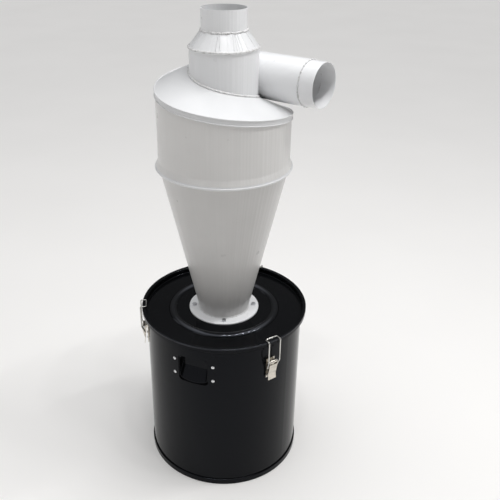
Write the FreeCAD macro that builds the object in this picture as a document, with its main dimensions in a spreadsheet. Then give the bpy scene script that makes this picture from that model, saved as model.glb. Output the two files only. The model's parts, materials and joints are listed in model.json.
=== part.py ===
"""Cyclone separator: a sheet-metal cyclone with a spiral roof on a latched collecting drum.

Millimetres. +Z is up, the origin is on the floor at the centre of the drum, Z is the common
axis of the drum, the cone and the barrel, and +X is the way the inlet mouth points.
"""
import FreeCAD
import Part
import Sketcher
import math
import os
from FreeCAD import Placement, Rotation, Vector

# ---------------------------------------------------------------- driving dimensions
DIMENSIONS = {
    # collecting drum
    "drum_radius": 196, "drum_rim_height": 418, "drum_sheet": 1.2, "drum_curl": 3.4,
    "drum_curl_depth": 6, "drum_curl_round": 1.1,
    "chime_proud": 3, "chime_height": 15, "chime_round": 1.3,
    # lid and its seal
    "gasket_width": 9, "gasket_thickness": 2, "lid_overhang": 12, "lid_rim_width": 9.6,
    "lid_rim_height": 15, "lid_skirt": 10, "lid_round": 3.2, "lid_bend": 2, "lid_hole_gap": 3,
    "bead_radius": 130, "bead_width": 18, "bead_height": 4.4, "bead_slope": 4, "bead_round": 4,
    # cone and its bolted foot
    "cyclone_sheet": 1.5, "cone_foot_radius": 62, "cone_top_inset": 2, "cone_height": 378,
    "cone_tail": 7, "flange_width": 26, "flange_thickness": 3.5, "flange_round": 1,
    "bolt_radius": 3, "bolt_gap": 0.5, "bolt_head_radius": 5.8, "bolt_head": 4,
    "bolt_start_angle": 38, "nut_height": 5, "bolt_tail": 2,
    # barrel with its seam ring and spiral roof
    "seam_ring_proud": 5.8, "seam_ring_height": 8, "seam_ring_width": 9.2,
    "seam_ring_lip": 4, "seam_ring_round": 1.2,
    "barrel_radius": 150, "barrel_flare": 4.4, "barrel_flare_height": 13,
    "barrel_flare_round": 12, "barrel_height": 211, "roof_drop": 110, "roof_rise": 32,
    "roof_rim_sheet": 1.2, "roof_rim_depth": 13, "step_lift": 0.8, "step_crest": 3,
    # neck, reducer and outlet collar
    "neck_radius": 75, "neck_rise": 14.8, "vortex_tube_depth": 219, "reducer_height": 34,
    "collar_radius": 49, "collar_sheet": 1.2, "outlet_collar_length": 44, "outlet_ring_depth": 8,
    "outlet_ring_lip": 3, "outlet_ring_round": 0.8,
    # tangential inlet
    "inlet_inset": 1.2, "inlet_lift": 0.7, "duct_slip": 0.3, "duct_length": 155,
    "inlet_collar_length": 36,
    # recessed handle
    "handle_angle": -74.3, "handle_drop": 100.5, "handle_height": 73, "handle_width": 77,
    "handle_depth": 20, "handle_sheet": 1.5, "handle_round": 10, "handle_back_inset": 11,
    "handle_foot_slope": 34, "handle_side_inset": 3,
    "handle_flange_width": 124, "handle_flange_height": 92,
    "rivet_angle": 14.6, "rivet_rows": 40, "rivet_head_radius": 4, "rivet_head_height": 2,
    "rivet_radius": 2,
    # toggle latches
    "latch_angle": -18, "latch_base_width": 24, "latch_base_below": 48, "latch_base_above": 6,
    "latch_base_sheet": 1.5, "hinge_stand_off": 10.5, "hinge_drop": 44, "knuckle_radius": 4,
    "knuckle_width": 19, "hinge_pin_radius": 1.9, "hinge_pin_head": 2.6,
    "hinge_pin_end": 1.3, "hinge_pin_head_thickness": 1, "pin_gap": 0.1,
    "lever_width": 23, "lever_sheet": 1.5, "lever_head_reach": 15.5, "lever_head_drop": 5.5,
    "lever_knee_reach": 9, "lever_knee_drop": 36, "lever_tip_reach": 11,
    "lever_tip_drop": 51, "lever_knee_round": 9, "eye_radius": 3.5,
    "ear_round": 3, "ear_foot_round": 2,
    "ear_foot_reach": 1, "ear_foot_rise": 10, "bail_pin_inset": 2.5, "bail_pin_drop": 17,
    "wire_radius": 1.5, "bail_width": 32, "bail_reach": 16, "bail_kick_rise": 4,
    "bail_bar_reach": 1.5, "bail_bend": 3.5, "bail_rim_gap": 0.5, "bail_ear_gap": 0.6,
    # clearances
    "seam_gap": 0.2,
}
LATCH_NAMES = ("front_right", "rear", "front_left")
LATCH_SPACING = 120
BOLT_COUNT = 4

# how far a cutting tool stands past what it cuts
OVERSHOOT = 1
ROOF_LINE_MARGIN = 4
# the least share of the barrel that each half of its roof line takes away
LEAST_TRIM = 0.05
# the most of a straight run that one bend of a wire may take
BEND_SHARE = 0.45
# any turn but zero, so that an item keeps Z as its axis until its bound angle is computed
START_ANGLE = 30

document = FreeCAD.newDocument("cyclone_separator")


class Size:
    """A length together with the sheet formula that gives it, so sums of it stay bound."""

    def __init__(self, value, formula):
        self.value = value
        self.formula = formula

    def _join(self, other, sign, result):
        other_formula = other.formula if isinstance(other, Size) else repr(other)
        return Size(result, "(" + self.formula + " " + sign + " " + other_formula + ")")

    def __add__(self, other):
        return self._join(other, "+", self.value + number(other))

    def __sub__(self, other):
        return self._join(other, "-", self.value - number(other))

    def __mul__(self, other):
        return self._join(other, "*", self.value * number(other))

    def __truediv__(self, other):
        return self._join(other, "/", self.value / number(other))

    def __radd__(self, other):
        return self + other

    def __rsub__(self, other):
        return -self + other

    def __rmul__(self, other):
        return self * other

    def __neg__(self):
        return Size(-self.value, "(-1 * " + self.formula + ")")


def number(size):
    return size.value if isinstance(size, Size) else size


def cosine(angle):
    return Size(math.cos(math.radians(number(angle))), "cos(" + angle.formula + ")")


def sine(angle):
    return Size(math.sin(math.radians(number(angle))), "sin(" + angle.formula + ")")


class Sheet:
    """The spreadsheet's cells as Size attributes, one for each alias."""

    def __init__(self, cells):
        sheet = document.addObject("Spreadsheet::Sheet", "dimensions")
        for row, (alias, value) in enumerate(cells.items(), start=1):
            sheet.set("A%d" % row, alias)
            sheet.set("B%d" % row, str(value))
            sheet.setAlias("B%d" % row, alias)
        document.recompute()
        for alias in cells:
            setattr(self, alias, Size(float(getattr(sheet, alias)), "dimensions." + alias))


d = Sheet(DIMENSIONS)
ZERO = d.seam_gap * 0


# ---------------------------------------------------------------- building helpers
def bind(item, prop, size):
    """Set a property and, when the size comes from the sheet, bind it."""
    if isinstance(size, Size):
        item.setExpression(prop, size.formula)
    else:
        setattr(item, prop, size)


def place(item, position=(0, 0, 0), angle=0, tilt=None):
    """Place an item: a fixed tilt first, or else a turn about Z that is bound to the sheet."""
    if tilt is None:
        rotation = Rotation(Vector(0, 0, 1), START_ANGLE)
    else:
        rotation = Rotation(Vector(*tilt[0]), tilt[1])
    item.Placement = Placement(Vector(*[number(value) for value in position]), rotation)
    for axis, value in zip("xyz", position):
        if isinstance(value, Size):
            item.setExpression("Placement.Base." + axis, value.formula)
    if tilt is None:
        turn = angle.formula if isinstance(angle, Size) else repr(angle)
        item.setExpression("Placement.Rotation.Angle", turn)
    return item


def origin_plane(body, role):
    return [plane for plane in body.Origin.OriginFeatures if plane.Role == role][0]


def rounded_corner(before, corner, after, radius):
    """Tangent points and middle of the arc that rounds a corner."""
    into = (before - corner).normalize()
    out = (after - corner).normalize()
    half = into.getAngle(out) / 2
    centre = corner + (into + out).normalize() * (radius / math.sin(half))
    middle = centre + (corner - centre).normalize() * radius
    reach = radius / math.tan(half)
    return corner + into * reach, middle, corner + out * reach


def outline(body, name, role, corners, offset=None):
    """A closed sketch bound to the sheet; a corner is (across, up) or (across, up, rounding)."""
    sketch = body.newObject("Sketcher::SketchObject", name)
    sketch.AttachmentSupport = (origin_plane(body, role), "")
    sketch.MapMode = "FlatFace"
    if offset is not None:
        sketch.AttachmentOffset = Placement(Vector(0, 0, number(offset)), Rotation())
        sketch.setExpression("AttachmentOffset.Base.z", offset.formula)
    spots = [Vector(number(corner[0]), number(corner[1]), 0) for corner in corners]
    count = len(corners)
    starts, ends, arcs = [], [], {}
    for index, corner in enumerate(corners):
        spot = spots[index]
        if len(corner) == 3:
            arrive, middle, leave = rounded_corner(
                spots[index - 1], spot, spots[(index + 1) % count], number(corner[2]))
            arcs[index] = Part.Arc(arrive, middle, leave)
        else:
            arrive = leave = spot
        starts.append(leave)
        ends.append(arrive)
    for index in range(count):
        sketch.addGeometry(Part.LineSegment(starts[index], ends[(index + 1) % count]), False)
    for index, corner in enumerate(corners):
        before = (index - 1) % count
        if index in arcs:
            arc = sketch.addGeometry(arcs[index], False)
            point = sketch.addGeometry(Part.Point(spots[index]), True)
            first = spots[index - 1] - spots[index]
            second = spots[(index + 1) % count] - spots[index]
            forward = first.cross(second).z < 0
            arc_in, arc_out = (1, 2) if forward else (2, 1)
            sketch.addConstraint(Sketcher.Constraint("Tangent", before, 2, arc, arc_in))
            sketch.addConstraint(Sketcher.Constraint("Tangent", index, 1, arc, arc_out))
            bound = sketch.addConstraint(Sketcher.Constraint("Radius", arc, number(corner[2])))
            if isinstance(corner[2], Size):
                sketch.setExpression("Constraints[%d]" % bound, corner[2].formula)
            sketch.addConstraint(Sketcher.Constraint("PointOnObject", point, 1, before))
            sketch.addConstraint(Sketcher.Constraint("PointOnObject", point, 1, index))
            target = (point, 1)
        else:
            sketch.addConstraint(Sketcher.Constraint("Coincident", before, 2, index, 1))
            target = (index, 1)
        for kind, value in (("DistanceX", corner[0]), ("DistanceY", corner[1])):
            datum = Sketcher.Constraint(kind, -1, 1, target[0], target[1], number(value))
            bound = sketch.addConstraint(datum)
            if isinstance(value, Size):
                sketch.setExpression("Constraints[%d]" % bound, value.formula)
    return sketch


def new_body(label):
    body = document.addObject("PartDesign::Body", label)
    body.Label = label
    return body


def revolved(label, corners):
    """A body of revolution about Z from its half section, given as (radius, height)."""
    body = new_body(label)
    section = outline(body, label + "_section", "XZ_Plane", corners)
    turn = body.newObject("PartDesign::Revolution", label + "_turn")
    turn.Profile = section
    turn.ReferenceAxis = (section, ["V_Axis"])
    turn.Angle = 360
    return body


def padded(label, role, corners, length):
    """A body padded evenly both ways from one of its origin planes."""
    body = new_body(label)
    pad = body.newObject("PartDesign::Pad", label + "_pad")
    pad.Profile = outline(body, label + "_outline", role, corners)
    pad.SideType = "Symmetric"
    bind(pad, "Length", length)
    return body


def cylinder(name, radius, height, position=(0, 0, 0), tilt=None):
    item = document.addObject("Part::Cylinder", name)
    bind(item, "Radius", radius)
    bind(item, "Height", height)
    return place(item, position, 0, tilt)


def box(name, low, size):
    item = document.addObject("Part::Box", name)
    for prop, value in zip(("Length", "Width", "Height"), size):
        bind(item, prop, value)
    return place(item, low)


def prism(name, circumradius, height, position):
    item = document.addObject("Part::Prism", name)
    item.Polygon = 6
    bind(item, "Circumradius", circumradius)
    bind(item, "Height", height)
    return place(item, position)


def fused(name, items):
    item = document.addObject("Part::MultiFuse", name)
    item.Shapes = items
    return item


def cut(name, base, tool):
    item = document.addObject("Part::Cut", name)
    item.Base = base
    item.Tool = tool
    return item


def grouped(name, items, angle=0):
    """Several solids that share a node, turned together about Z."""
    item = document.addObject("Part::Compound", name)
    item.Links = items
    return place(item, (0, 0, 0), angle)


def along_y(name, radius, length, reach, height):
    """A cylinder across a latch, centred on its middle plane."""
    return cylinder(name, radius, length, (reach, length / 2, height), ((1, 0, 0), 90))


# ---------------------------------------------------------------- shared levels and radii
wall = d.drum_radius
chime_radius = wall + d.chime_proud
lid_radius = wall + d.lid_overhang
lid_under = d.drum_rim_height + d.gasket_thickness
lid_top = lid_under + d.drum_sheet
lid_crest = lid_under + d.lid_rim_height

flange_radius = d.cone_foot_radius + d.flange_width
bolt_reach = d.cone_foot_radius + d.flange_width / 2
flange_foot = lid_top + d.seam_gap
flange_top = flange_foot + d.flange_thickness

cone_foot = flange_top
cone_top = cone_foot + d.cone_height
cone_top_radius = d.barrel_radius - d.cone_top_inset
cone_slope = (cone_top_radius - d.cone_foot_radius) / d.cone_height

ring_foot = cone_top + d.seam_gap
ring_top = ring_foot + d.seam_ring_height
seam_ring_radius = d.barrel_radius + d.seam_ring_proud
seam_ring_inner = seam_ring_radius - d.seam_ring_width
barrel_foot = ring_top + d.seam_gap
barrel_top = barrel_foot + d.barrel_height

roof_low_outer = barrel_top - d.roof_drop
roof_low_inner = roof_low_outer + d.roof_rise
roof_inner_radius = d.neck_radius + d.seam_gap
roof_outer_radius = d.barrel_radius + d.seam_gap + d.roof_rim_sheet

neck_top = barrel_top + d.roof_rise + d.neck_rise
reducer_foot = neck_top + d.seam_gap
reducer_top = reducer_foot + d.reducer_height
collar_foot = reducer_top + d.seam_gap
collar_top = collar_foot + d.outlet_collar_length

duct_radius = d.collar_radius + d.duct_slip + d.collar_sheet
inlet_offset = d.barrel_radius - duct_radius - d.inlet_inset
inlet_height = roof_low_inner + duct_radius + d.inlet_lift

handle_foot = d.drum_rim_height - d.handle_drop

hinge_reach = wall + d.hinge_stand_off
hinge_height = d.drum_rim_height - d.hinge_drop
latch_base_foot = hinge_height - d.latch_base_below
latch_base_top = hinge_height + d.latch_base_above
lever_head = hinge_height - d.lever_head_drop
lever_knee = hinge_height - d.lever_knee_drop
lever_tip = hinge_height - d.lever_tip_drop
bail_kick = hinge_height + d.bail_kick_rise
bail_pin_reach = hinge_reach - d.bail_pin_inset
bail_pin_height = hinge_height - d.bail_pin_drop


# ---------------------------------------------------------------- collecting drum
def rounded_rectangle(half, low, high, rounding):
    return [(-half, low, rounding), (half, low, rounding), (half, high, rounding),
            (-half, high, rounding)]


def handle_window(name):
    """Prism through the drum wall with the outline of the handle's mouth."""
    prism_body = padded(name, "YZ_Plane", rounded_rectangle(
        d.handle_width / 2, ZERO, d.handle_height, d.handle_round), d.drum_radius / 4)
    return grouped(name + "_placed", [place(prism_body, (wall, ZERO, handle_foot))],
                   d.handle_angle)


def drum_wall():
    curl = wall + d.drum_curl
    top = d.drum_rim_height
    shell = revolved("drum_shell", [
        (wall - d.drum_sheet, ZERO), (wall, ZERO), (wall, top - d.drum_sheet),
        (curl - d.drum_sheet, top - d.drum_sheet), (curl - d.drum_sheet, top - d.drum_curl_depth),
        (curl, top - d.drum_curl_depth), (curl, top, d.drum_curl_round),
        (wall - d.drum_sheet, top)])
    opened = cut("drum_wall", shell, handle_window("wall_window"))
    opened.Label = "drum_wall"
    return opened


def drum_bottom():
    edge = wall - d.drum_sheet - d.seam_gap
    return revolved("drum_bottom", [
        (ZERO, ZERO), (edge, ZERO), (edge, d.drum_sheet), (ZERO, d.drum_sheet)])


def bottom_chime():
    inner = wall + d.seam_gap
    return revolved("bottom_chime", [
        (inner, ZERO), (chime_radius, ZERO, d.chime_round),
        (chime_radius, d.chime_height, d.chime_round), (inner, d.chime_height)])


def lid_gasket():
    outer = wall + d.drum_curl
    return revolved("lid_gasket", [
        (outer - d.gasket_width, d.drum_rim_height), (outer, d.drum_rim_height),
        (outer, lid_under), (outer - d.gasket_width, lid_under)])


def lid():
    hole = d.cone_foot_radius + d.lid_hole_gap
    inner = lid_radius - d.lid_rim_width
    riser = inner + d.drum_sheet
    bead_in = d.bead_radius - d.bead_width / 2
    bead_out = d.bead_radius + d.bead_width / 2
    crown_in = bead_in + d.bead_slope
    crown_out = bead_out - d.bead_slope
    skirt = lid_crest - d.lid_skirt
    sheet = d.drum_sheet
    bend = d.bead_round
    under_bend = d.bead_round - sheet
    body = revolved("lid_pressing", [
        (hole, lid_top), (bead_in, lid_top, bend), (crown_in, lid_top + d.bead_height, bend),
        (crown_out, lid_top + d.bead_height, bend), (bead_out, lid_top, bend),
        (inner, lid_top, d.lid_bend), (inner, lid_crest, d.lid_round),
        (lid_radius, lid_crest, d.lid_round), (lid_radius, skirt), (lid_radius - sheet, skirt),
        (lid_radius - sheet, lid_crest - sheet, d.lid_round - sheet),
        (riser, lid_crest - sheet, d.lid_round - sheet), (riser, lid_under, d.lid_bend + sheet),
        (bead_out, lid_under, under_bend), (crown_out, lid_under + d.bead_height, under_bend),
        (crown_in, lid_under + d.bead_height, under_bend), (bead_in, lid_under, under_bend),
        (hole, lid_under)])
    return drilled("lid", body, lid_under, d.drum_sheet)


def bolt_positions(name, piece):
    """Four copies of a piece about Z on the bolt circle."""
    angles = [d.bolt_start_angle + 360 * turn / BOLT_COUNT for turn in range(BOLT_COUNT)]
    return [grouped("%s_%d" % (name, turn), [piece], angle) for turn, angle in enumerate(angles)]


def drilled(label, body, foot, thickness):
    """A disc with the flange's bolt holes through it."""
    drill = cylinder(label + "_drill", d.bolt_radius + d.bolt_gap, thickness + OVERSHOOT * 2,
                     (bolt_reach, ZERO, foot - OVERSHOOT))
    holes = grouped(label + "_drills", bolt_positions(label + "_hole", drill))
    disc = cut(label, body, holes)
    disc.Label = label
    return disc


# ---------------------------------------------------------------- cone and its foot
def cone_flange():
    inner = d.cone_foot_radius + d.seam_gap
    body = revolved("flange_disc", [
        (inner, flange_foot), (flange_radius, flange_foot),
        (flange_radius, flange_top, d.flange_round), (inner, flange_top)])
    return drilled("cone_flange", body, flange_foot, d.flange_thickness)


def flange_bolts():
    head_foot = flange_top + d.seam_gap
    nut_foot = lid_under - d.seam_gap - d.nut_height
    shank_foot = nut_foot - d.bolt_tail
    head = prism("bolt_head_hex", d.bolt_head_radius, d.bolt_head, (bolt_reach, ZERO, head_foot))
    shank = cylinder("bolt_shank", d.bolt_radius, head_foot + d.bolt_head / 2 - shank_foot,
                     (bolt_reach, ZERO, shank_foot))
    nut = prism("bolt_nut", d.bolt_head_radius, d.nut_height, (bolt_reach, ZERO, nut_foot))
    bolt = fused("flange_bolt", [head, shank, nut])
    return grouped("flange_bolts", bolt_positions("flange_bolt_at", bolt))


def cone():
    tail_radius = d.cone_foot_radius - cone_slope * d.cone_tail
    tail = cone_foot - d.cone_tail
    sheet = d.cyclone_sheet
    return revolved("cone", [
        (tail_radius - sheet, tail), (tail_radius, tail), (cone_top_radius, cone_top),
        (cone_top_radius - sheet, cone_top)])


# ---------------------------------------------------------------- barrel and roof
def body_seam_ring():
    return revolved("body_seam_ring", [
        (seam_ring_inner, ring_foot), (seam_ring_radius, ring_foot, d.seam_ring_round),
        (seam_ring_radius, ring_foot + d.seam_ring_lip, d.seam_ring_round),
        (d.barrel_radius + d.barrel_flare, ring_top), (seam_ring_inner, ring_top)])


def helical(body, name, kind, section, turns):
    """Sweep a section upwards round the axis, left-handed, by the roof's pitch."""
    sweep = body.newObject("PartDesign::" + kind, name)
    sweep.Profile = section
    sweep.ReferenceAxis = (section, ["V_Axis"])
    sweep.Mode = "pitch-height-angle"
    sweep.LeftHanded = True
    bind(sweep, "Pitch", d.roof_drop)
    bind(sweep, "Height", d.roof_drop * turns)
    return sweep


def spiral_roof():
    inner = roof_inner_radius
    eaves = d.barrel_radius + d.seam_gap
    outer = roof_outer_radius
    sheet = d.cyclone_sheet
    body = new_body("spiral_roof")
    section = outline(body, "roof_section", "YZ_Plane", [
        (inner, roof_low_inner), (eaves, roof_low_outer),
        (eaves, roof_low_outer - d.roof_rim_depth), (outer, roof_low_outer - d.roof_rim_depth),
        (outer, roof_low_outer + sheet / 2),
        (eaves, roof_low_outer + sheet), (inner, roof_low_inner + sheet)])
    helical(body, "roof_sweep", "AdditiveHelix", section, 1)
    return body


def barrel():
    """The barrel wall, flared at its foot, with its top edge cut to the roof's spiral."""
    outer = d.barrel_radius
    inner = outer - d.cyclone_sheet
    flare = barrel_foot + d.barrel_flare_height
    bend = d.barrel_flare_round
    body = revolved("barrel", [
        (inner + d.barrel_flare, barrel_foot), (outer + d.barrel_flare, barrel_foot),
        (outer, flare, bend), (outer, barrel_top), (inner, barrel_top), (inner, flare, bend)])
    document.recompute()
    volume = body.Shape.Volume
    slope = d.roof_rise / (d.barrel_radius - roof_inner_radius)
    margin = ROOF_LINE_MARGIN
    for half, side in enumerate((1, -1)):
        start = roof_low_outer + d.roof_drop * (half / 2) - d.seam_gap
        low = start - slope * margin
        high = start + slope * margin
        section = outline(body, "roof_line_%d" % half, "YZ_Plane", [
            ((outer + margin) * side, low), ((outer + margin) * side, barrel_top + margin),
            ((outer - margin) * side, barrel_top + margin), ((outer - margin) * side, high)])
        helical(body, "roof_trim_%d" % half, "SubtractiveHelix", section, 0.5)
        document.recompute()
        if body.Shape.Volume > volume * (1 - LEAST_TRIM):
            raise RuntimeError("the roof line did not cut the barrel")
        volume = body.Shape.Volume
    return body


def step_plate():
    """The upright plate that closes the step of the spiral round the inlet duct.

    The duct's top breaks through the plate's sloping edge, which leaves the plate in two parts.
    """
    inner = roof_inner_radius
    sheet = d.cyclone_sheet
    lift = sheet + d.step_lift
    crest = barrel_top + d.step_crest
    body = padded("step_blank", "YZ_Plane", [
        (inner, roof_low_inner + lift), (roof_outer_radius, roof_low_outer + lift),
        (roof_outer_radius, crest), (inner, crest + d.roof_rise)], sheet)
    place(body, (sheet / 2 + d.seam_gap, ZERO, ZERO))
    hole = cylinder("step_hole", duct_radius + d.seam_gap, sheet + OVERSHOOT * 2,
                    (d.seam_gap - OVERSHOOT, inlet_offset, inlet_height), ((0, 1, 0), 90))
    plate = cut("step_plate", body, hole)
    plate.Label = "step_plate"
    return plate


# ---------------------------------------------------------------- neck and outlet
def neck_tube():
    foot = neck_top - d.vortex_tube_depth
    inner = d.neck_radius - d.cyclone_sheet
    return revolved("neck_tube", [
        (inner, foot), (d.neck_radius, foot), (d.neck_radius, neck_top),
        (inner, neck_top)])


def outlet_reducer():
    sheet = d.cyclone_sheet
    return revolved("outlet_reducer", [
        (d.neck_radius - sheet, reducer_foot), (d.neck_radius, reducer_foot),
        (d.collar_radius, reducer_top), (d.collar_radius - sheet, reducer_top)])


def outlet_collar():
    inner = d.collar_radius - d.collar_sheet
    return revolved("outlet_collar", [
        (inner, collar_foot), (d.collar_radius, collar_foot), (d.collar_radius, collar_top),
        (inner, collar_top)])


def outlet_inner_ring():
    outer = d.collar_radius - d.collar_sheet - d.seam_gap
    sheet = d.collar_sheet
    lip = outer - sheet - d.outlet_ring_lip
    return revolved("outlet_inner_ring", [
        (lip, collar_foot), (outer, collar_foot), (outer, collar_foot + d.outlet_ring_depth),
        (outer - sheet, collar_foot + d.outlet_ring_depth),
        (outer - sheet, collar_foot + sheet, d.outlet_ring_round), (lip, collar_foot + sheet)])


# ---------------------------------------------------------------- inlet
def pipe_x(name, radius, sheet, start, length):
    """A thin pipe along X on the inlet's axis."""
    position = (start, inlet_offset, inlet_height)
    inside = (start - OVERSHOOT, inlet_offset, inlet_height)
    tilt = ((0, 1, 0), 90)
    bore = cylinder(name + "_inside", radius - sheet, length + OVERSHOOT * 2, inside, tilt)
    return cut(name, cylinder(name + "_outside", radius, length, position, tilt), bore)


def inlet_duct(roof):
    """The duct, notched where it runs against the neck tube and over the roof."""
    pipe = pipe_x("duct_pipe", duct_radius, d.collar_sheet, ZERO, d.duct_length)
    notch = cylinder("duct_notch", d.neck_radius + d.seam_gap, neck_top, (0, 0, 0))
    duct = cut("inlet_duct", pipe, fused("duct_notches", [notch, roof]))
    duct.Label = "inlet_duct"
    return duct


def inlet_collar():
    collar = pipe_x("inlet_collar", d.collar_radius, d.collar_sheet,
                    d.duct_length + d.seam_gap, d.inlet_collar_length)
    collar.Label = "inlet_collar"
    return collar


# ---------------------------------------------------------------- handle
def handle():
    """A pressed cup behind the window in the drum wall, with a flange riveted to the wall."""
    sheet = d.handle_sheet
    seat = wall - d.drum_sheet - d.seam_gap
    back = seat - d.handle_depth
    half = d.handle_width / 2
    half_back = half - d.handle_side_inset
    top = d.handle_height
    bend = d.handle_round
    low_back = d.handle_foot_slope
    high_back = top - d.handle_back_inset
    body = new_body("handle_cup")
    mouth = outline(body, "cup_mouth", "YZ_Plane",
                    rounded_rectangle(half, ZERO, top, bend), wall)
    rear = outline(body, "cup_rear", "YZ_Plane",
                   rounded_rectangle(half_back, low_back, high_back, bend), back)
    full = body.newObject("PartDesign::AdditiveLoft", "cup_full")
    full.Profile = mouth
    full.Sections = [rear]
    inner_mouth = outline(body, "cup_inner_mouth", "YZ_Plane", rounded_rectangle(
        half - sheet, sheet, top - sheet, bend - sheet), wall)
    inner_rear = outline(body, "cup_inner_rear", "YZ_Plane", rounded_rectangle(
        half_back - sheet, low_back + sheet, high_back - sheet, bend - sheet), back + sheet)
    hollow = body.newObject("PartDesign::SubtractiveLoft", "cup_hollow")
    hollow.Profile = inner_mouth
    hollow.Sections = [inner_rear]
    cup = document.addObject("Part::Common", "cup_trimmed")
    cup.Base = body
    cup.Tool = cylinder("cup_seat", seat, top + OVERSHOOT * 2, (ZERO, ZERO, ZERO - OVERSHOOT))
    rim = (d.handle_flange_height - top) / 2
    ring = cut("flange_ring",
               cylinder("flange_ring_outer", seat, d.handle_flange_height, (ZERO, ZERO, -rim)),
               cylinder("flange_ring_inner", seat - sheet, d.handle_flange_height,
                        (ZERO, ZERO, -rim)))
    patch = document.addObject("Part::Common", "flange_patch")
    patch.Base = ring
    patch.Tool = place(padded("flange_outline", "YZ_Plane", rounded_rectangle(
        d.handle_flange_width / 2, -rim, top + rim, bend), d.drum_radius / 2), (wall, ZERO, ZERO))
    mouth_hole = place(padded("flange_mouth", "YZ_Plane", rounded_rectangle(
        half - sheet, sheet, top - sheet, bend - sheet), d.drum_radius / 4), (wall, ZERO, ZERO))
    piece = fused("handle", [cut("flange_open", patch, mouth_hole), cup])
    piece.Label = "handle"
    return place(piece, (ZERO, ZERO, handle_foot), d.handle_angle)


def dome_rivet(name, reach, height, shank):
    """A domed rivet whose axis points along local X, with its shank towards the drum's axis."""
    head = document.addObject("Part::Ellipsoid", name + "_head")
    bind(head, "Radius1", d.rivet_head_height)
    bind(head, "Radius2", d.rivet_head_radius)
    bind(head, "Radius3", d.rivet_head_radius)
    head.Angle1 = 0
    head.Angle2 = 90
    place(head, (reach, ZERO, height), 0, ((0, 1, 0), 90))
    stem = cylinder(name + "_stem", d.rivet_radius, shank, (reach - shank, ZERO, height),
                    ((0, 1, 0), 90))
    return fused(name, [head, stem])


def handle_rivets():
    reach = wall + d.seam_gap
    middle = handle_foot + d.handle_height / 2
    rivets = []
    for row in (-1, 1):
        rivet = dome_rivet("handle_rivet_%d" % row, reach, middle + d.rivet_rows / 2 * row,
                           d.seam_gap)
        for side in (-1, 1):
            name = "handle_rivet_%d_%d" % (row, side)
            rivets.append(grouped(name, [rivet], d.rivet_angle * side))
    return grouped("handle_rivets", rivets, d.handle_angle)


# ---------------------------------------------------------------- toggle latches
def latch_base(name, angle):
    """Plate on the drum wall with the rolled knuckle that carries the hinge pin."""
    sheet = d.latch_base_sheet
    width = d.latch_base_width
    plate = box(name + "_base_plate", (wall, -width / 2, latch_base_foot),
                (sheet, width, latch_base_top - latch_base_foot))
    arm = box(name + "_base_arm",
              (wall + sheet / 2, -d.knuckle_width / 2, hinge_height - d.knuckle_radius / 2),
              (d.hinge_stand_off - sheet / 2, d.knuckle_width, d.knuckle_radius))
    knuckle = along_y(name + "_knuckle", d.knuckle_radius, d.knuckle_width, hinge_reach,
                      hinge_height)
    bore = along_y(name + "_base_bore", d.hinge_pin_radius + d.pin_gap, d.lever_width * 2,
                   hinge_reach, hinge_height)
    solid = cut(name + "_base_solid", fused(name + "_base_parts", [plate, arm, knuckle]), bore)
    return grouped(name + "_base", [solid], angle)


def latch_rivets(name, angle):
    reach = wall + d.latch_base_sheet + d.seam_gap
    low = latch_base_foot + d.rivet_head_radius * 2
    rivets = [dome_rivet("%s_rivet_%d" % (name, row), reach, low + d.rivet_head_radius * 4 * row,
                         d.seam_gap) for row in (0, 1)]
    return grouped(name + "_rivets", rivets, angle)


def latch_pin(name, angle):
    """Hinge pin with a small head on each end."""
    length = d.lever_width + d.hinge_pin_end * 2
    thickness = d.hinge_pin_head_thickness
    pin = along_y(name + "_pin_rod", d.hinge_pin_radius, length, hinge_reach, hinge_height)
    heads = []
    for side in (-1, 1):
        start = length / 2 * side + thickness / 2
        head = cylinder("%s_pin_head_%d" % (name, side), d.hinge_pin_head, thickness,
                        (hinge_reach, start, hinge_height), ((1, 0, 0), 90))
        heads.append(head)
    return grouped(name + "_pin", [fused(name + "_pin_solid", [pin] + heads)], angle)


def lever_profile(thickness):
    """Corners of the lever's face plate from its head to its curled tip, as a thin section."""
    head = (wall + d.lever_head_reach, lever_head)
    knee = (wall + d.lever_knee_reach, lever_knee)
    tip = (wall + d.lever_tip_reach, lever_tip)
    return [head, knee + (d.lever_knee_round,), tip, (tip[0] - thickness, tip[1]),
            (knee[0] - thickness, knee[1], d.lever_knee_round + thickness / 2),
            (head[0] - thickness, head[1])]


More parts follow.
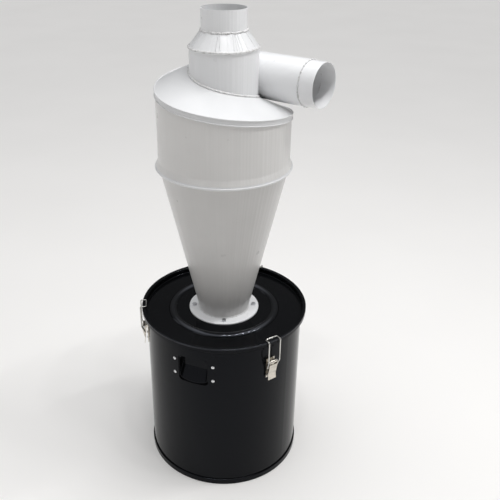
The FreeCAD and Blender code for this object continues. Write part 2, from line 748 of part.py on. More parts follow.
def latch_lever(name, angle):
    """Face plate with two ears that straddle the knuckle and carry the bail."""
    sheet = d.lever_sheet
    plate = padded(name + "_lever_plate", "XZ_Plane", lever_profile(sheet), d.lever_width)
    eye = d.eye_radius
    front = wall + d.lever_head_reach - sheet / 2
    bend = d.ear_round
    ear = [(hinge_reach - eye, hinge_height + eye, bend),
           (hinge_reach + eye, hinge_height + eye, bend), (front, lever_head),
           (wall + d.lever_knee_reach + d.ear_foot_reach, lever_knee + d.ear_foot_rise),
           (bail_pin_reach - eye + d.ear_foot_reach, bail_pin_height - eye, d.ear_foot_round),
           (bail_pin_reach - eye, bail_pin_height + eye, d.ear_foot_round)]
    ears = padded(name + "_lever_ears", "XZ_Plane", ear, d.lever_width)
    slot = box(name + "_lever_slot",
               (wall, -d.lever_width / 2 + sheet, lever_knee),
               (d.lever_head_reach - sheet, d.lever_width - sheet * 2, lever_knee))
    # the lower clearing box stops at the face plate, so the plate itself stays whole
    crown = box(name + "_lever_crown", (wall, -d.lever_width / 2 + sheet, lever_head),
                (d.lever_head_reach * 2, d.lever_width - sheet * 2, d.lever_head_reach))
    cheeks = cut(name + "_lever_cheeks", ears, fused(name + "_lever_clear", [slot, crown]))
    pins = fused(name + "_lever_bores", [
        along_y(name + "_lever_bore", d.hinge_pin_radius + d.pin_gap, d.lever_width * 2,
                hinge_reach, hinge_height),
        along_y(name + "_bail_bore", d.wire_radius + d.pin_gap, d.lever_width * 2,
                bail_pin_reach, bail_pin_height)])
    solid = cut(name + "_lever_solid", fused(name + "_lever_parts", [plate, cheeks]), pins)
    return grouped(name + "_lever", [solid], angle)


def rounded_path(points, radius):
    """A wire through the points with each inner corner rounded to the same radius."""
    edges = []
    start = points[0]
    for before, corner, after in zip(points, points[1:], points[2:]):
        reach = min((before - corner).Length, (after - corner).Length) * BEND_SHARE
        half = (before - corner).getAngle(after - corner) / 2
        arrive, middle, leave = rounded_corner(before, corner, after,
                                               min(radius, reach * math.tan(half)))
        edges.append(Part.LineSegment(start, arrive).toShape())
        edges.append(Part.Arc(arrive, middle, leave).toShape())
        start = leave
    edges.append(Part.LineSegment(start, points[-1]).toShape())
    return Part.Wire(edges)


def latch_bail(name, angle):
    """Wire loop from the lever's ears up the wall and over the lid's rim."""
    side = d.bail_width.value / 2
    leg = wall.value + d.bail_reach.value
    bar = wall.value + d.bail_bar_reach.value
    over = lid_crest.value + d.bail_rim_gap.value + d.wire_radius.value
    pin_reach = bail_pin_reach.value
    pin_height = bail_pin_height.value
    pin_start = d.lever_width.value / 2 - d.lever_sheet.value * 2
    pin_end = d.lever_width.value / 2 + d.wire_radius.value + d.bail_ear_gap.value
    half = [(pin_reach, pin_start, pin_height), (pin_reach, pin_end, pin_height),
            (leg, side, bail_kick.value), (leg, side, over), (bar, side, over)]
    points = [Vector(*spot) for spot in half]
    points += [Vector(reach, -across, height) for reach, across, height in reversed(half)]
    path = rounded_path(points, d.bail_bend.value)
    section = Part.Wire(Part.makeCircle(d.wire_radius.value, points[0], points[1] - points[0]))
    bail = document.addObject("Part::Feature", name + "_bail_wire")
    bail.Shape = path.makePipeShell([section], True, True)
    return grouped(name + "_bail", [bail], angle)


def latches():
    pieces = []
    for turn, place_name in enumerate(LATCH_NAMES):
        name = "latch_" + place_name
        angle = d.latch_angle + LATCH_SPACING * turn
        for make in (latch_base, latch_rivets, latch_pin, latch_lever, latch_bail):
            pieces.append(make(name, angle))
    return pieces


# ---------------------------------------------------------------- assembly and export
SINGLE_PIECES = (
    drum_wall, drum_bottom, bottom_chime, lid_gasket, lid, cone_flange, flange_bolts, cone,
    body_seam_ring, barrel, step_plate, neck_tube, outlet_reducer, outlet_collar,
    outlet_inner_ring, inlet_collar, handle, handle_rivets)


def export(pieces):
    document.recompute()
    for item in document.Objects:
        if "Invalid" in item.State or "Error" in item.State:
            raise RuntimeError(item.Name + " failed to compute")
    for piece in pieces:
        if piece.Shape.isNull() or not piece.Shape.isValid():
            raise RuntimeError(piece.Label + " has no valid shape")
    os.makedirs("parts", exist_ok=True)
    for piece in pieces:
        piece.Shape.exportStep("parts/" + piece.Label + ".step")
        print(piece.Label, "%.0f mm3" % piece.Shape.Volume)


roof_piece = spiral_roof()
export([roof_piece, inlet_duct(roof_piece)] + [make() for make in SINGLE_PIECES] + latches())
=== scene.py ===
"""Looks of the cyclone separator: finishes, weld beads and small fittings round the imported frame.

Metres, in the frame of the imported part: +Z up, the drum's axis on Z, the inlet mouth towards +X.
"""
import bpy
import json
import math
import random
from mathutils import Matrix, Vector, noise

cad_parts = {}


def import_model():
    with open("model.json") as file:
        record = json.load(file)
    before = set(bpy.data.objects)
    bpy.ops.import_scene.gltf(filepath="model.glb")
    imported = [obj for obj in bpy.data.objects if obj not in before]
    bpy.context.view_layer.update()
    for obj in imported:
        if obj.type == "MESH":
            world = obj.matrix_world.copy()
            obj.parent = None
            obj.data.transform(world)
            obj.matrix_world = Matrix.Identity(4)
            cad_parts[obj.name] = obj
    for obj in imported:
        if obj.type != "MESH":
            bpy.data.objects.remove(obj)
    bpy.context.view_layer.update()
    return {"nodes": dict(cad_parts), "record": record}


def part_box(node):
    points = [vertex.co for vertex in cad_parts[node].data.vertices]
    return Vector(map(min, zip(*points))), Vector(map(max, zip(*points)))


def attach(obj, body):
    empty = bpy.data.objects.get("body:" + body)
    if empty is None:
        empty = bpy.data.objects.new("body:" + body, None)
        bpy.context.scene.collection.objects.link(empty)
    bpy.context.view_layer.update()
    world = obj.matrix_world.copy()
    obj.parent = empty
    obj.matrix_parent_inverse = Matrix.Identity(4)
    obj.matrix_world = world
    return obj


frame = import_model()
ROOT = "separator"
FULL_TURN = 2 * math.pi


# ------------------------------------------------------------------ sizes
def low(node):
    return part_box(node)[0]


def high(node):
    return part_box(node)[1]


NECK_RADIUS = high("neck_tube").x
NECK_TOP = high("neck_tube").z
COLLAR_RADIUS = high("outlet_collar").x
COLLAR_FOOT = low("outlet_collar").z
# the roof's rim stands out from the barrel by its sheet and the gap under it
ROOF_RIM_REACH = 0.0014
BARREL_RADIUS = high("spiral_roof").x - ROOF_RIM_REACH
DUCT_CENTRE_Y = (low("inlet_duct").y + high("inlet_duct").y) / 2
DUCT_CENTRE_Z = (low("inlet_duct").z + high("inlet_duct").z) / 2
DUCT_END = high("inlet_duct").x
FLANGE_TOP = high("cone_flange").z
CONE_FOOT_RADIUS = 0.062
DRUM_RADIUS = 0.196
LID_TOP = 0.4212

# the roof falls by ROOF_DROP in one turn, and rises by ROOF_RISE from its rim to the neck
ROOF_DROP = 0.110
ROOF_RISE = 0.032
ROOF_START = math.radians(90)
ROOF_INNER_START = high("spiral_roof").z
ROOF_RIM_DEPTH = 0.013

# the bump of enamel over the lid's raised ring
RAISED_RING_RADIUS = 0.130
RAISED_RING_HALF_WIDTH = 0.0105
RAISED_RING_RISE = 0.0056

# directions round the axis, in degrees: the lengthwise seams, and the reducer's creases
REAR = 140.0
FOLD_PLACES = (-150, -118, -66, -58, -35, -30, -25, -20, -9, 12, 40, 74, 103, 131, 168)


# ------------------------------------------------------------------ node helpers
class Graph:
    """A short way to add linked shader nodes to a tree."""

    def __init__(self, tree):
        self.tree = tree

    def add(self, kind, values=None, **settings):
        node = self.tree.nodes.new("ShaderNode" + kind)
        for key, value in settings.items():
            setattr(node, key, value)
        for key, value in (values or {}).items():
            self.feed(node.inputs[key], value)
        return node

    def feed(self, socket, value):
        if isinstance(value, bpy.types.NodeSocket):
            self.tree.links.new(value, socket)
        else:
            socket.default_value = value

    def ramp(self, factor, stops):
        node = self.add("ValToRGB", {"Fac": factor})
        elements = node.color_ramp.elements
        while len(elements) < len(stops):
            elements.new(0.5)
        for element, (place, value) in zip(elements, stops):
            element.position = place
            element.color = value
        return node.outputs["Color"]


class Finish(Graph):
    """A material on the Principled shader."""

    SOCKETS = {"color": "Base Color", "roughness": "Roughness", "metallic": "Metallic",
               "normal": "Normal", "coat": "Coat Weight", "coat_roughness": "Coat Roughness",
               "specular": "Specular IOR Level", "specular_tint": "Specular Tint"}

    def __init__(self, name):
        self.material = bpy.data.materials.new(name)
        self.material.use_nodes = True
        super().__init__(self.material.node_tree)
        self.place = self.add("TexCoord").outputs["Object"]

    def noise(self, scale, detail=2.0, roughness=0.5, vector=None):
        values = {"Vector": vector or self.place, "Scale": scale, "Detail": detail,
                  "Roughness": roughness}
        return self.add("TexNoise", values).outputs["Fac"]

    def round_axis(self):
        """A vector that changes only with the angle round the Z axis, in radians."""
        parts = self.add("SeparateXYZ", {"Vector": self.place})
        turn = self.add("Math", {0: parts.outputs["Y"], 1: parts.outputs["X"]},
                        operation="ARCTAN2")
        return self.add("CombineXYZ", {"X": turn.outputs["Value"]}).outputs["Vector"]

    def span(self, factor, least, most):
        values = {"Value": factor, "To Min": least, "To Max": most}
        return self.add("MapRange", values).outputs["Result"]

    def bump(self, height, strength, distance, normal=None):
        values = {"Height": height, "Strength": strength, "Distance": distance}
        if normal is not None:
            values["Normal"] = normal
        return self.add("Bump", values).outputs["Normal"]

    def done(self, **values):
        shader = self.tree.nodes["Principled BSDF"]
        for key, value in values.items():
            self.feed(shader.inputs[self.SOCKETS[key]], value)
        return self.material


# ------------------------------------------------------------------ materials
NEUTRAL = (1.0, 1.0, 1.0)
COOL = (0.985, 0.99, 1.0)
COLD = (0.82, 0.87, 1.0)
WARM = (1.0, 0.985, 0.965)
WARM_WELD = (1.0, 0.985, 0.96)


def grey(level, tint=NEUTRAL):
    return tuple(level * part for part in tint) + (1.0,)


def white_coat(name, level=0.76, tint=COOL, bands=0.0, streaks=0.0):
    """Glossy white powder coat: orange peel, faint tone drift and, on rolled sheet, soft bands
    and streaks."""
    paint = Finish(name)
    drift = paint.noise(scale=5.0, detail=3.0)
    color = paint.ramp(drift, [(0.3, grey(level - 0.03, tint)), (0.7, grey(level + 0.03, tint))])
    gloss = paint.span(paint.noise(scale=22.0, detail=3.0), least=0.24, most=0.36)
    peel = paint.bump(paint.noise(scale=420.0, detail=1.0), strength=0.10, distance=0.0004)
    normal = paint.bump(paint.noise(scale=14.0, detail=1.0), strength=0.25, distance=0.0012,
                        normal=peel)
    if bands:
        rolled = paint.noise(scale=7.0, detail=2.0, roughness=0.6, vector=paint.round_axis())
        normal = paint.bump(rolled, strength=bands, distance=0.004, normal=normal)
    if streaks:
        folds = paint.noise(scale=26.0, detail=0.0, vector=paint.round_axis())
        sharp = paint.ramp(folds, [(0.50, grey(0.0)), (0.56, grey(1.0)), (0.62, grey(0.2))])
        normal = paint.bump(sharp, strength=streaks, distance=0.0015, normal=normal)
    return paint.done(color=color, roughness=gloss, normal=normal, coat=0.25,
                      coat_roughness=0.12, specular=0.5)


def weld_coat():
    """The same paint, thick and uneven over welds."""
    paint = Finish("white_coat_on_weld")
    color = paint.ramp(paint.noise(scale=160.0, detail=4.0),
                       [(0.25, grey(0.55, WARM_WELD)), (0.6, grey(0.80))])
    normal = paint.bump(paint.noise(scale=520.0, detail=3.0), strength=0.5, distance=0.0007)
    return paint.done(color=color, roughness=0.30, normal=normal, coat=0.3, coat_roughness=0.15)


def black_enamel(name, shine, rough):
    """Glossy black enamel with faint orange peel, haze and a little dust."""
    paint = Finish(name)
    dust = paint.ramp(paint.noise(scale=900.0), [(0.70, grey(0.0040, COLD)),
                                                 (0.80, grey(0.012, COLD))])
    haze = paint.span(paint.noise(scale=9.0, detail=4.0), least=rough, most=rough + 0.07)
    peel = paint.bump(paint.noise(scale=300.0, detail=1.0), strength=0.05, distance=0.0004)
    normal = paint.bump(paint.noise(scale=10.0, detail=1.0), strength=0.18, distance=0.0012,
                        normal=peel)
    return paint.done(color=dust, roughness=haze, normal=normal, specular=shine,
                      specular_tint=grey(1.0, COLD))


def plated(name, tint, roughness, stretch=1.0, spots=0.0):
    """Bright plated steel with fine grain, drawn out along Z by a stretch under 1, and stains."""
    metal = Finish(name)
    dull = tuple(part * 0.78 for part in tint) + (1.0,)
    color = metal.ramp(metal.noise(scale=90.0, detail=4.0), [(0.30, dull), (0.55, (*tint, 1.0))])
    drawn = metal.add("Mapping", {"Vector": metal.place, "Scale": (1.0, 1.0, stretch)})
    hair = metal.noise(scale=1400.0, vector=drawn.outputs["Vector"])
    rough = metal.span(hair, least=roughness - 0.07, most=roughness + 0.09)
    normal = metal.bump(hair, strength=0.10, distance=0.0003)
    if spots:
        normal = metal.bump(metal.noise(scale=260.0), strength=spots, distance=0.0006,
                            normal=normal)
    return metal.done(color=color, roughness=rough, metallic=1.0, normal=normal)


def gasket_rubber():
    rubber = Finish("gasket_rubber")
    color = rubber.ramp(rubber.noise(scale=120.0, detail=3.0),
                        [(0.3, grey(0.014)), (0.7, grey(0.03))])
    normal = rubber.bump(rubber.noise(scale=600.0), strength=0.3, distance=0.0005)
    return rubber.done(color=color, roughness=0.72, normal=normal)


WHITE = white_coat("white_coat_flat")
# the real paint is one white; these copies are painted light and shade: lighter cool copies for the
# reducer, neck, collars, duct and flange, darker warm copies for the barrel and cone
WHITE_FOLDED_PAINTED_LIGHT = white_coat("white_coat_folded_painted_light", level=0.84, bands=0.25, streaks=0.35)
WHITE_TOP_PAINTED_LIGHT = white_coat("white_coat_top_painted_light", level=0.86, bands=0.3)
WHITE_FLANGE_PAINTED_LIGHT = white_coat("white_coat_flange_painted_light", level=0.92)
WHITE_BODY_PAINTED_SHADE = white_coat("white_coat_body_painted_shade", level=0.73, tint=WARM, bands=0.35)
WHITE_CONE_PAINTED_SHADE = white_coat("white_coat_cone_painted_shade", level=0.63, tint=WARM, bands=0.35)
WELD = weld_coat()
BLACK = black_enamel("black_enamel", shine=0.12, rough=0.10)
BLACK_THICK = black_enamel("black_enamel_thick", shine=0.5, rough=0.03)
ZINC = plated("zinc_plate", (0.66, 0.67, 0.69), 0.34, spots=0.3)

SLOT_MATERIALS = {
    "white_enamel": WHITE,
    "black_enamel": BLACK,
    "nickel_plate": plated("nickel_plate", (0.66, 0.62, 0.55), 0.24, stretch=0.08),
    "bail_wire": plated("plated_wire", (0.62, 0.61, 0.58), 0.26, stretch=0.15),
    "zinc_steel": ZINC,
    "rivet_aluminium": plated("rivet_aluminium", (0.88, 0.89, 0.90), 0.28, spots=0.2),
    "bare_steel": plated("bare_steel", (0.62, 0.61, 0.59), 0.36, spots=0.4),
    "gasket_rubber": gasket_rubber()}
# these parts take a lighter or darker copy of the white paint, painted light and shade, in place of
# their slot's finish
PAINTED_LIGHT_BY_NODE = {
    "barrel": WHITE_BODY_PAINTED_SHADE, "cone": WHITE_CONE_PAINTED_SHADE, "neck_tube": WHITE_TOP_PAINTED_LIGHT, "outlet_collar": WHITE_TOP_PAINTED_LIGHT,
    "inlet_duct": WHITE_TOP_PAINTED_LIGHT, "inlet_collar": WHITE_TOP_PAINTED_LIGHT, "outlet_reducer": WHITE_FOLDED_PAINTED_LIGHT,
    "cone_flange": WHITE_FLANGE_PAINTED_LIGHT}


def paint_frame():
    """Give the parts listed by node a lighter or darker copy of the white paint, painted light and
    shade, and every other node the finish of its material slot.
    """
    slots = {part["node"]: part["material_slot"] for part in frame["record"]["subparts"]}
    for name, item in frame["nodes"].items():
        item.data.materials.clear()
        item.data.materials.append(PAINTED_LIGHT_BY_NODE.get(name, SLOT_MATERIALS[slots[name]]))


# ------------------------------------------------------------------ mesh helpers
def add_mesh(name, vertices, faces, material):
    """A smooth mesh that rides on the separator's fixed body."""
    mesh = bpy.data.meshes.new(name)
    mesh.from_pydata([tuple(spot) for spot in vertices], [], faces)
    mesh.update()
    item = bpy.data.objects.new(name, mesh)
    bpy.context.scene.collection.objects.link(item)
    mesh.materials.append(material)
    mesh.polygons.foreach_set("use_smooth", [True] * len(mesh.polygons))
    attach(item, ROOT)


def polar(reach, turn, height):
    return Vector((reach * math.cos(turn), reach * math.sin(turn), height))


def ring_faces(ring, after_ring, count):
    """Quads between two rings of count points, given by the index of each ring's first point."""
    return [(ring + step, ring + (step + 1) % count,
             after_ring + (step + 1) % count, after_ring + step) for step in range(count)]


def end_faces(first, last, count):
    """The two flat ends of a stack of rings."""
    return [tuple(reversed(range(first, first + count))), tuple(range(last, last + count))]


def tube(points, radius_at, sides, closed):
    """Vertices and faces of a tube along points, whose radius depends on the point's index."""
    count = len(points)
    any_direction = Vector((0.31, 0.17, 0.93))
    vertices, faces = [], []
    side = None
    for index, point in enumerate(points):
        if closed:
            ahead = points[(index + 1) % count] - points[index - 1]
        else:
            ahead = points[min(index + 1, count - 1)] - points[max(index - 1, 0)]
        ahead.normalize()
        if side is None:
            side = ahead.cross(any_direction).normalized()
        side = (side - ahead * side.dot(ahead)).normalized()
        other = ahead.cross(side)
        radius = radius_at(index)
        for step in range(sides):
            turn = FULL_TURN * step / sides
            vertices.append(point + (side * math.cos(turn) + other * math.sin(turn)) * radius)
    for ring in range(count if closed else count - 1):
        faces += ring_faces(ring * sides, (ring + 1) % count * sides, sides)
    if not closed:
        faces += end_faces(0, (count - 1) * sides, sides)
    return vertices, faces


def bead(name, points, radius, ripple=0.0, lumps=0.35, seed=0, closed=False, sides=10,
         material=WELD):
    """A painted bead: ripple is the weld pool's even wave, lumps the uneven rest."""
    ripple_step, lump_scale, grain_scale, grain_share = 1.9, 95.0, 420.0, 0.4
    source = Vector((seed * 7.3, seed * 3.1, 0))

    def radius_at(index):
        spot = points[index]
        wave = math.sin(index * ripple_step) * ripple
        lump = noise.noise(spot * lump_scale + source) * lumps
        grain = noise.noise(spot * grain_scale + source) * lumps * grain_share
        return radius * (1.0 + wave + lump + grain)

    vertices, faces = tube(points, radius_at, sides, closed)
    add_mesh(name, vertices, faces, material)


def circle(radius, height, steps, proud=0.0, raised=0.0, wobble=0.0):
    """Points round the Z axis, proud of a radius and raised over a height; wobble moves each
    up or down a little."""
    wobble_scale = 60.0
    points = []
    for step in range(steps):
        spot = polar(radius + proud, FULL_TURN * step / steps, height + raised)
        spot.z += wobble * noise.noise(spot * wobble_scale)
        points.append(spot)
    return points


def roof_line(radius, start_height, steps, proud, raised):
    """Points once round the axis on the roof's falling helix."""
    return [polar(radius + proud, ROOF_START + step / steps * FULL_TURN,
                  start_height + raised - ROOF_DROP * step / steps)
            for step in range(steps + 1)]


def duct_arc(proud, past_end, steps, start=0.0, sweep=FULL_TURN):
    """Points round the inlet's axis, proud of the collar and past the duct's end."""
    reach = COLLAR_RADIUS + proud
    points = []
    for step in range(steps + 1):
        turn = start + sweep * step / steps
        points.append(Vector((DUCT_END + past_end, DUCT_CENTRE_Y + reach * math.cos(turn),
                              DUCT_CENTRE_Z + reach * math.sin(turn))))
    return points


# ------------------------------------------------------------------ welds and rolled edges
def outlet_welds():
    bead("weld_collar_to_reducer",
         circle(COLLAR_RADIUS, COLLAR_FOOT, steps=260, proud=0.0002, wobble=0.0016),
         radius=0.0021, ripple=0.18, lumps=0.9, seed=1, closed=True)
    bead("weld_reducer_to_neck",
         circle(NECK_RADIUS, NECK_TOP, steps=300, proud=-0.0002, wobble=0.0003),
         radius=0.0029, ripple=0.012, lumps=0.07, seed=2, closed=True, sides=16)


def reducer_folds():
    """Fine creases left by rolling the reducer's steep cone."""
    dice = random.Random(5)
    least_lean, most_lean = -4.0, 3.0
    least_radius, radius_spread = 0.0006, 0.0004
    steps = 12
    sink = 0.0002
    foot, head = NECK_TOP + 0.003, COLLAR_FOOT - 0.002
    foot_share, span_share = 0.09, 0.85
    for number, place in enumerate(FOLD_PLACES):
        lean = math.radians(dice.uniform(least_lean, most_lean))
        points = []
        for step in range(steps + 1):
            share = step / steps
            inward = foot_share + span_share * share
            reach = NECK_RADIUS + (COLLAR_RADIUS - NECK_RADIUS) * inward - sink
            points.append(polar(reach, math.radians(place) + lean * share,
                                foot + (head - foot) * share))
        bead("reducer_fold_%02d" % number, points,
             radius=least_radius + dice.random() * radius_spread, lumps=0.12,
             seed=60 + number, sides=8, material=WHITE)


def roof_edges():
    """The weld against the neck, the hem along the rim and the rim's lower edge."""
    rim_top = ROOF_INNER_START - ROOF_RISE
    rim_foot = rim_top - ROOF_RIM_DEPTH
    bead("weld_neck_to_roof",
         roof_line(NECK_RADIUS, ROOF_INNER_START, steps=420, proud=0.0009, raised=0.0006),
         radius=0.0024, ripple=0.03, lumps=0.14, seed=3, sides=12)
    bead("roof_rim_hem",
         roof_line(BARREL_RADIUS, rim_top, steps=480, proud=0.0012, raised=-0.0010),
         radius=0.0016, lumps=0.04, seed=31, sides=12, material=WHITE)
    bead("roof_rim_edge",
         roof_line(BARREL_RADIUS, rim_foot, steps=480, proud=0.0016, raised=0.0004),
         radius=0.0011, lumps=0.06, seed=32, material=WHITE)


def seam_ring_lip():
    """The rolled lip at the widest line of the body's seam ring."""
    bead("seam_ring_lip",
         circle(high("body_seam_ring").x, low("body_seam_ring").z, steps=360, proud=-0.0006,
                raised=0.0034),
         radius=0.0022, lumps=0.03, seed=33, closed=True, sides=14, material=WHITE)


def crown(name, radius, foot, half_width, rise, steps=360, parts=20):
    """A low rounded crown of enamel round the Z axis, its foot sunk in what it lies on."""
    sink = 0.0006
    bow = (half_width ** 2 + rise ** 2) / (2 * rise)
    outline = []
    for part in range(parts + 1):
        side = half_width * (2 * part / parts - 1)
        outline.append((radius + side, foot + math.sqrt(bow ** 2 - side ** 2) - bow + rise))
    outline += [(radius + half_width, foot - sink), (radius - half_width, foot - sink)]
    vertices, faces = [], []
    count = len(outline)
    for step in range(steps):
        turn = FULL_TURN * step / steps
        vertices += [(reach * math.cos(turn), reach * math.sin(turn), level)
                     for reach, level in outline]
        here, there = step * count, (step + 1) % steps * count
        for part in range(count):
            after = (part + 1) % count
            faces.append((here + part, there + part, there + after, here + after))
    add_mesh(name, vertices, faces, BLACK_THICK)


def lid_edges():
    """Thick glossy enamel on the lid's rim and over its raised ring."""
    rim = high("lid")
    bead("lid_rim_edge", circle(rim.x, rim.z, steps=480, proud=-0.0016, raised=-0.0018),
         radius=0.0017, lumps=0.08, seed=34, closed=True, material=BLACK_THICK)
    crown("raised_ring_crown", RAISED_RING_RADIUS, LID_TOP, RAISED_RING_HALF_WIDTH,
          RAISED_RING_RISE)


def flange_weld():
    bead("weld_cone_to_flange",
         circle(CONE_FOOT_RADIUS, FLANGE_TOP, steps=240, proud=0.0006, raised=0.0008,
                wobble=0.0004),
         radius=0.0018, ripple=0.05, lumps=0.2, seed=4, closed=True)


def duct_joint():
    """Paint filling the joint of duct and collar, and short uneven tacks of weld round it."""
    bead("duct_joint_paint", duct_arc(proud=0.0004, past_end=0.0001, steps=240),
         radius=0.0010, lumps=0.25, seed=12, material=WHITE)
    dice = random.Random(11)
    tack_sweeps = (0.03, 0.05, 0.22, 0.35)
    least_gap, most_gap, last_gap = 0.05, 0.18, 0.1
    least_radius, radius_spread = 0.0013, 0.0010
    least_steps, steps_per_radian = 4, 60
    turn = 0.0
    number = 0
    while turn < FULL_TURN - last_gap:
        sweep = dice.choice(tack_sweeps)
        steps = max(least_steps, int(sweep * steps_per_radian))
        bead("weld_duct_tack_%02d" % number,
             duct_arc(proud=0.0010, past_end=0.0008, steps=steps, start=turn, sweep=sweep),
             radius=least_radius + dice.random() * radius_spread, ripple=0.18, lumps=0.7,
             seed=20 + number, sides=8)
        turn += sweep + dice.uniform(least_gap, most_gap)
        number += 1


def lengthwise_seam(name, foot, head, seed, material):
    """A straight seam at the rear, almost flush; foot and head are (reach, height)."""
    steps = 60
    start, end = (polar(reach, math.radians(REAR), height) for reach, height in (foot, head))
    points = [start.lerp(end, step / steps) for step in range(steps + 1)]
    bead(name, points, radius=0.0012, ripple=0.02, lumps=0.15, seed=seed, sides=8,
         material=material)


def lengthwise_seams():
    """The rear seams of drum, cone and barrel, each a little short of its sheet's ends."""
    sink = 0.0004
    drum, barrel = DRUM_RADIUS - sink, BARREL_RADIUS - sink
    drum_foot, drum_head = 0.022, high("drum_wall").z - 0.020
    cone_foot = (CONE_FOOT_RADIUS + 0.0006, low("cone").z + 0.006)
    cone_head = (BARREL_RADIUS - 0.0026, high("cone").z - 0.004)
    barrel_foot, barrel_head = low("barrel").z + 0.006, 0.985
    lengthwise_seam("drum_seam", (drum, drum_foot), (drum, drum_head), 41, BLACK)
    lengthwise_seam("cone_seam", cone_foot, cone_head, 42, WHITE)
    lengthwise_seam("barrel_seam", (barrel, barrel_foot), (barrel, barrel_head), 43, WHITE)


# ------------------------------------------------------------------ rivets
# the broken end of a rivet's mandrel, seen in the middle of its head, as (reach, height)
MANDREL = [(0.0013, -0.0006), (0.0013, 0.0001), (0.0010, 0.0005), (0.0006, 0.0003),
           (0.0002, 0.0004)]


def islands(node):
    """The corner points of each separate solid in a node's mesh."""
    mesh = frame["nodes"][node].data
    parent = list(range(len(mesh.vertices)))

    def root(index):
        while parent[index] != index:
            parent[index] = parent[parent[index]]
            index = parent[index]
        return index

    places = {}
    for index, vertex in enumerate(mesh.vertices):
        key = tuple(round(part, 6) for part in vertex.co)
        parent[index] = places.setdefault(key, index)
    for edge in mesh.edges:
        first, second = root(edge.vertices[0]), root(edge.vertices[1])
        parent[first] = second
    groups = {}
    for index, vertex in enumerate(mesh.vertices):
        groups.setdefault(root(index), []).append(vertex.co.copy())
    return [sorted(group, key=lambda spot: tuple(spot)) for group in groups.values()]


def turned(name, profile, place, axis, material, sides=20):
    """A small turned piece: a profile of (reach, height) about an axis through place."""
    side = axis.orthogonal().normalized()
    other = axis.cross(side)
    vertices, faces = [], []
    for reach, height in profile:
        for step in range(sides):
            turn = FULL_TURN * step / sides
            vertices.append(place + axis * height
                            + (side * math.cos(turn) + other * math.sin(turn)) * reach)
    for ring in range(len(profile) - 1):
        faces += ring_faces(ring * sides, (ring + 1) * sides, sides)
    faces += end_faces(0, (len(profile) - 1) * sides, sides)
    add_mesh(name, vertices, faces, material)


def mandrels():
    """A mandrel end on top of each rivet's head."""
    for node in sorted(frame["nodes"]):
        if not node.endswith("rivets"):
            continue
        for number, spots in enumerate(sorted(islands(node))):
            centre = sum(spots, Vector()) / len(spots)
            axis = Vector((centre.x, centre.y, 0)).normalized()
            top = max(spot.dot(axis) for spot in spots)
            place = centre + axis * (top - centre.dot(axis))
            turned("%s_mandrel_%d" % (node, number), MANDREL, place, axis, ZINC)


# ------------------------------------------------------------------ studio
# the sky's brightness by the height of the direction, as a share of its zenith
SKY = [(0.0, 0.055), (0.35, 0.07), (0.60, 0.13), (0.80, 0.62), (0.92, 1.0)]
SKY_POWER = 1.45
# the sky's factor goes from behind to in front of the object, along this direction
SKY_FRONT = (0.62, -0.78, 0.0)
SKY_SHADE = {"From Min": -0.2, "From Max": 0.9, "To Min": 1.25, "To Max": 0.45}
BACKDROP_LEVEL = 0.82

# a row of lamps, from the first to the last (toward the viewer, to the viewer's right)
LAMPS = 7
LAMP_FIRST, LAMP_LAST = (0.75, 0.0), (-0.25, 1.75)
LAMP_HEIGHT = 2.75
LAMP_AIM = (0, 0, 0.6)
LAMP_SIZE = (0.16, 0.05)
LAMP_POWER = 4.0
VIEW_AZIMUTH = math.radians(-52)

# name, place, aim, size and power of each soft light
SOFT_LIGHTS = [
    ("right_fill", (2.6, 0.9, 1.2), (0, 0, 0.8), (0.8, 2.0), 4.0),
    ("left_fill", (-2.6, -1.0, 1.2), (0, 0, 0.8), (0.8, 2.0), 2.0),
    ("front_card", (-0.35, -2.46, 1.34), (0.05, -0.19, 0.36), (1.3, 0.9), 3.0)]

FLOOR_HALF = 30.0

CAMERA_PLACE = (0.8898, -1.1388, 1.3502)
CAMERA_TILT = math.radians(62.02)
CAMERA_TURN = math.radians(38.0)
CAMERA_LENS = 48.1
CAMERA_SENSOR = 36.0
CAMERA_SHIFT = 0.052
CAMERA_REACH = 100.0


def world():
    """A dim room round a broad bright ceiling, darker on the viewer's side, with a pale
    backdrop where the sky itself shows."""
    scene_world = bpy.data.worlds.new("studio")
    scene_world.use_nodes = True
    bpy.context.scene.world = scene_world
    tree = scene_world.node_tree
    graph = Graph(tree)
    direction = graph.add("TexCoord").outputs["Generated"]
    height = graph.add("SeparateXYZ", {"Vector": direction}).outputs["Z"]
    color = graph.ramp(height, [(place, grey(level, COOL)) for place, level in SKY])
    front = graph.add("VectorMath", {0: direction, 1: SKY_FRONT}, operation="DOT_PRODUCT")
    shade = graph.add("MapRange", {"Value": front.outputs["Value"], **SKY_SHADE})
    power = graph.add("Math", {0: shade.outputs["Result"], 1: SKY_POWER}, operation="MULTIPLY")
    sky = tree.nodes["Background"]
    graph.feed(sky.inputs["Color"], color)
    graph.feed(sky.inputs["Strength"], power.outputs["Value"])
    backdrop = graph.add("Background", {"Color": grey(BACKDROP_LEVEL, WARM)})
    seen = graph.add("LightPath").outputs["Is Camera Ray"]
    mix = graph.add("MixShader", {0: seen, 1: sky.outputs["Background"],
                                  2: backdrop.outputs["Background"]})
    graph.feed(tree.nodes["World Output"].inputs["Surface"], mix.outputs["Shader"])


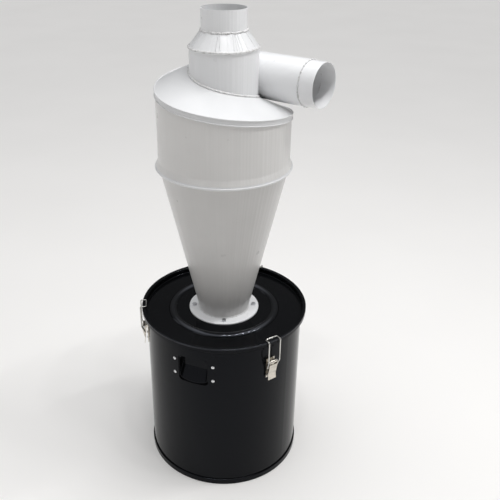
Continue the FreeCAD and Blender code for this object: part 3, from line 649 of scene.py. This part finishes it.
def floor():
    paint = Finish("pale_floor")
    color = paint.ramp(paint.noise(scale=1.5), [(0.3, grey(0.93, WARM)), (0.7, grey(0.95, WARM))])
    mesh = bpy.data.meshes.new("floor")
    half = FLOOR_HALF
    mesh.from_pydata([(-half, -half, 0), (half, -half, 0), (half, half, 0), (-half, half, 0)],
                     [], [(0, 1, 2, 3)])
    mesh.materials.append(paint.done(color=color, roughness=0.9, specular=0.1))
    item = bpy.data.objects.new("floor", mesh)
    bpy.context.scene.collection.objects.link(item)


def area_light(name, place, aim, size, power):
    light = bpy.data.lights.new(name, "AREA")
    light.shape = "RECTANGLE"
    light.size, light.size_y = size
    light.energy = power
    item = bpy.data.objects.new(name, light)
    item.location = place
    item.rotation_euler = (Vector(aim) - Vector(place)).to_track_quat("-Z", "Y").to_euler()
    bpy.context.scene.collection.objects.link(item)


def from_view(toward, right, height):
    """A place given by its distances toward the viewer and to the viewer's right."""
    ahead = Vector((math.cos(VIEW_AZIMUTH), math.sin(VIEW_AZIMUTH), 0))
    side = Vector((-ahead.y, ahead.x, 0))
    return ahead * toward + side * right + Vector((0, 0, height))


def lights():
    """A row of ceiling lamps over the viewer's right, and soft lights round the object."""
    for number in range(LAMPS):
        share = number / (LAMPS - 1)
        toward, right = (first + (last - first) * share
                         for first, last in zip(LAMP_FIRST, LAMP_LAST))
        area_light("lamp_%d" % number, from_view(toward, right, LAMP_HEIGHT), LAMP_AIM,
                   LAMP_SIZE, LAMP_POWER)
    for name, place, aim, size, power in SOFT_LIGHTS:
        area_light(name, place, aim, size, power)


def camera():
    data = bpy.data.cameras.new("camera")
    data.sensor_width = CAMERA_SENSOR
    data.lens = CAMERA_LENS
    data.shift_x = CAMERA_SHIFT
    data.clip_end = CAMERA_REACH
    item = bpy.data.objects.new("camera", data)
    item.location = CAMERA_PLACE
    item.rotation_euler = (CAMERA_TILT, 0.0, CAMERA_TURN)
    bpy.context.scene.collection.objects.link(item)
    bpy.context.scene.camera = item


paint_frame()
outlet_welds()
reducer_folds()
roof_edges()
seam_ring_lip()
lid_edges()
flange_weld()
duct_joint()
lengthwise_seams()
mandrels()
world()
floor()
lights()
camera()
bpy.context.scene.view_settings.view_transform = "Standard"
